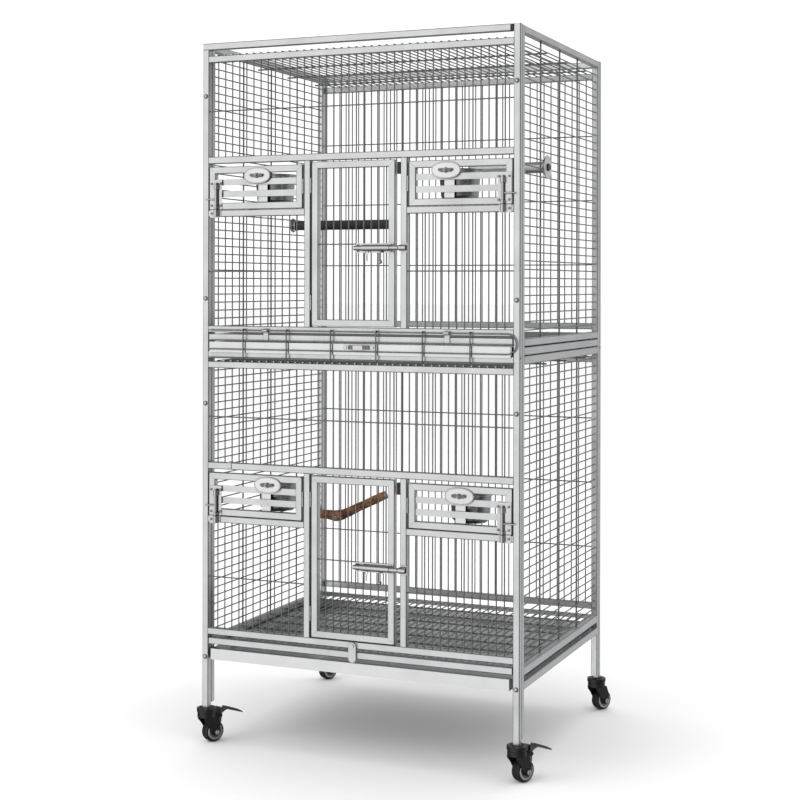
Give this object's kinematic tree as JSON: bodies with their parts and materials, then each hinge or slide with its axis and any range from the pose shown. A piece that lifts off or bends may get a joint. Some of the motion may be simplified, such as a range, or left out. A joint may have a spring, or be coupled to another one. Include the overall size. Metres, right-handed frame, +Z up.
{
  "type": "parrot cage",
  "caption": "Tall two-tier barred bird cage of welded steel tube and wire on swivel casters, with bolted doors, swing-out feeder doors with cups, perches, and pull-out floor grates and trays.",
  "frame": {"origin": "middle of the footprint of the four corner posts, on the floor plane under the wheels", "axes": "+Z up; the front with the doors faces -Y; +X to the right seen from the front"},
  "size_m": [0.8638, 0.708, 1.6754],
  "materials": {
    "frame_steel": "satin stainless tube and wire",
    "sheet_steel": "bright folded sheet",
    "fittings": "polished bolts, hinges and screws",
    "cup_steel": "bright spun cup",
    "black_plastic": "moulded, fine grain",
    "tread": "smooth moulded tread",
    "dark_wood": "dark stained dowel",
    "perch_steel": "satin tube",
    "bark": "natural branch"
  },
  "bodies": {
    "cage": {"upper_front_panel": "frame_steel", "upper_back_panel": "frame_steel", "upper_left_side_panel": "frame_steel", "upper_right_side_panel": "frame_steel", "upper_roof": "frame_steel", "lower_front_panel": "frame_steel", "lower_back_panel": "frame_steel", "lower_left_side_panel": "frame_steel", "lower_right_side_panel": "frame_steel", "lower_roof": "frame_steel", "frame_hinges": "fittings", "bolt_keepers": "fittings", "assembly_bolts": "fittings", "stacking_pins": "fittings", "black_plugs": "black_plastic", "caster_stems": "fittings", "dowel_perch": "dark_wood", "bar_perch": "perch_steel", "branch_perch": "bark", "perch_fittings": "fittings"},
    "upper_drawer": {"upper_grate": "frame_steel", "upper_tray": "sheet_steel", "tray_handle": "fittings"},
    "wire_guard": {"wire_guard": "frame_steel"},
    "lower_grate": {"lower_grate": "frame_steel"},
    "lower_tray": {"lower_tray": "sheet_steel"},
    "turn_tab": {"turn_tab": "fittings"},
    "upper_door": {"upper_door": "frame_steel", "upper_door_hardware": "fittings"},
    "upper_door_bolt": {"upper_door_bolt": "fittings"},
    "upper_left_feeder": {"upper_left_feeder_door": "frame_steel", "upper_left_feeder_hardware": "fittings", "upper_left_feeder_cup": "cup_steel"},
    "upper_left_feeder_bolt": {"upper_left_feeder_bolt": "fittings"},
    "upper_right_feeder": {"upper_right_feeder_door": "frame_steel", "upper_right_feeder_hardware": "fittings", "upper_right_feeder_cup": "cup_steel"},
    "upper_right_feeder_bolt": {"upper_right_feeder_bolt": "fittings"},
    "lower_door": {"lower_door": "frame_steel", "lower_door_hardware": "fittings"},
    "lower_door_bolt": {"lower_door_bolt": "fittings"},
    "lower_left_feeder": {"lower_left_feeder_door": "frame_steel", "lower_left_feeder_hardware": "fittings", "lower_left_feeder_cup": "cup_steel"},
    "lower_left_feeder_bolt": {"lower_left_feeder_bolt": "fittings"},
    "lower_right_feeder": {"lower_right_feeder_door": "frame_steel", "lower_right_feeder_hardware": "fittings", "lower_right_feeder_cup": "cup_steel"},
    "lower_right_feeder_bolt": {"lower_right_feeder_bolt": "fittings"},
    "front_left_caster_fork": {"front_left_caster_fork": "black_plastic"},
    "front_left_caster_wheel": {"front_left_caster_wheel": "tread"},
    "front_left_brake_pedal": {"front_left_brake_pedal": "fittings"},
    "front_right_caster_fork": {"front_right_caster_fork": "black_plastic"},
    "front_right_caster_wheel": {"front_right_caster_wheel": "tread"},
    "front_right_brake_pedal": {"front_right_brake_pedal": "fittings"},
    "rear_left_caster_fork": {"rear_left_caster_fork": "black_plastic"},
    "rear_left_caster_wheel": {"rear_left_caster_wheel": "tread"},
    "rear_right_caster_fork": {"rear_right_caster_fork": "black_plastic"},
    "rear_right_caster_wheel": {"rear_right_caster_wheel": "tread"}
  },
  "joints": [
    {"name": "upper_door_hinge", "type": "hinge", "parent": "cage", "child": "upper_door", "pos_m": [-0.112, -0.3302, 1.19275], "axis": [0, 0, 1], "range_deg": [-110, 0]},
    {"name": "upper_door_bolt_slide", "type": "slide", "parent": "upper_door", "child": "upper_door_bolt", "axis": [1, 0, 0], "range_m": [0, 0.018]},
    {"name": "upper_left_feeder_hinge", "type": "hinge", "parent": "cage", "child": "upper_left_feeder", "pos_m": [-0.13235, -0.3302, 1.328], "axis": [0, 0, 1], "range_deg": [0, 100]},
    {"name": "upper_left_feeder_bolt_slide", "type": "slide", "parent": "upper_left_feeder", "child": "upper_left_feeder_bolt", "axis": [0, 0, 1], "range_m": [-0.012, 0]},
    {"name": "upper_right_feeder_hinge", "type": "hinge", "parent": "cage", "child": "upper_right_feeder", "pos_m": [0.13235, -0.3302, 1.328], "axis": [0, 0, 1], "range_deg": [-100, 0]},
    {"name": "upper_right_feeder_bolt_slide", "type": "slide", "parent": "upper_right_feeder", "child": "upper_right_feeder_bolt", "axis": [0, 0, 1], "range_m": [-0.012, 0]},
    {"name": "lower_door_hinge", "type": "hinge", "parent": "cage", "child": "lower_door", "pos_m": [-0.112, -0.3302, 0.46625], "axis": [0, 0, 1], "range_deg": [-110, 0]},
    {"name": "lower_door_bolt_slide", "type": "slide", "parent": "lower_door", "child": "lower_door_bolt", "axis": [1, 0, 0], "range_m": [0, 0.018]},
    {"name": "lower_left_feeder_hinge", "type": "hinge", "parent": "cage", "child": "lower_left_feeder", "pos_m": [-0.13235, -0.3302, 0.598], "axis": [0, 0, 1], "range_deg": [0, 100]},
    {"name": "lower_left_feeder_bolt_slide", "type": "slide", "parent": "lower_left_feeder", "child": "lower_left_feeder_bolt", "axis": [0, 0, 1], "range_m": [-0.012, 0]},
    {"name": "lower_right_feeder_hinge", "type": "hinge", "parent": "cage", "child": "lower_right_feeder", "pos_m": [0.13235, -0.3302, 0.598], "axis": [0, 0, 1], "range_deg": [-100, 0]},
    {"name": "lower_right_feeder_bolt_slide", "type": "slide", "parent": "lower_right_feeder", "child": "lower_right_feeder_bolt", "axis": [0, 0, 1], "range_m": [-0.012, 0]},
    {"name": "upper_drawer_slide", "type": "slide", "parent": "cage", "child": "upper_drawer", "axis": [0, -1, 0], "range_m": [0, 0.5]},
    {"name": "wire_guard_hinge", "type": "hinge", "parent": "upper_drawer", "child": "wire_guard", "pos_m": [0, -0.336, 0.99], "axis": [1, 0, 0], "range_deg": [-95, 0]},
    {"name": "lower_grate_slide", "type": "slide", "parent": "cage", "child": "lower_grate", "axis": [0, -1, 0], "range_m": [0, 0.5]},
    {"name": "lower_tray_slide", "type": "slide", "parent": "cage", "child": "lower_tray", "axis": [0, -1, 0], "range_m": [0, 0.5]},
    {"name": "turn_tab_pivot", "type": "hinge", "parent": "lower_grate", "child": "turn_tab", "pos_m": [-0.003, -0.334, 0.2677], "axis": [0, 1, 0], "range_deg": [-90, 90]},
    {"name": "front_left_swivel", "type": "hinge", "parent": "cage", "child": "front_left_caster_fork", "pos_m": [-0.392, -0.322, 0.08], "axis": [0, 0, 1], "continuous": true},
    {"name": "front_left_wheel_spin", "type": "hinge", "parent": "front_left_caster_fork", "child": "front_left_caster_wheel", "pos_m": [-0.3835, -0.30728, 0.025], "axis": [0.866, -0.5, 0], "continuous": true},
    {"name": "front_left_brake", "type": "hinge", "parent": "front_left_caster_fork", "child": "front_left_brake_pedal", "pos_m": [-0.3765, -0.29515, 0.062], "axis": [0.866, -0.5, 0], "range_deg": [0, 18]},
    {"name": "front_right_swivel", "type": "hinge", "parent": "cage", "child": "front_right_caster_fork", "pos_m": [0.392, -0.322, 0.08], "axis": [0, 0, 1], "continuous": true},
    {"name": "front_right_wheel_spin", "type": "hinge", "parent": "front_right_caster_fork", "child": "front_right_caster_wheel", "pos_m": [0.4005, -0.30728, 0.025], "axis": [0.866, -0.5, 0], "continuous": true},
    {"name": "front_right_brake", "type": "hinge", "parent": "front_right_caster_fork", "child": "front_right_brake_pedal", "pos_m": [0.4075, -0.29515, 0.062], "axis": [0.866, -0.5, 0], "range_deg": [0, 18]},
    {"name": "rear_left_swivel", "type": "hinge", "parent": "cage", "child": "rear_left_caster_fork", "pos_m": [-0.392, 0.322, 0.08], "axis": [0, 0, 1], "continuous": true},
    {"name": "rear_left_wheel_spin", "type": "hinge", "parent": "rear_left_caster_fork", "child": "rear_left_caster_wheel", "pos_m": [-0.3835, 0.33672, 0.025], "axis": [0.866, -0.5, 0], "continuous": true},
    {"name": "rear_right_swivel", "type": "hinge", "parent": "cage", "child": "rear_right_caster_fork", "pos_m": [0.392, 0.322, 0.08], "axis": [0, 0, 1], "continuous": true},
    {"name": "rear_right_wheel_spin", "type": "hinge", "parent": "rear_right_caster_fork", "child": "rear_right_caster_wheel", "pos_m": [0.4005, 0.33672, 0.025], "axis": [0.866, -0.5, 0], "continuous": true}
  ]
}
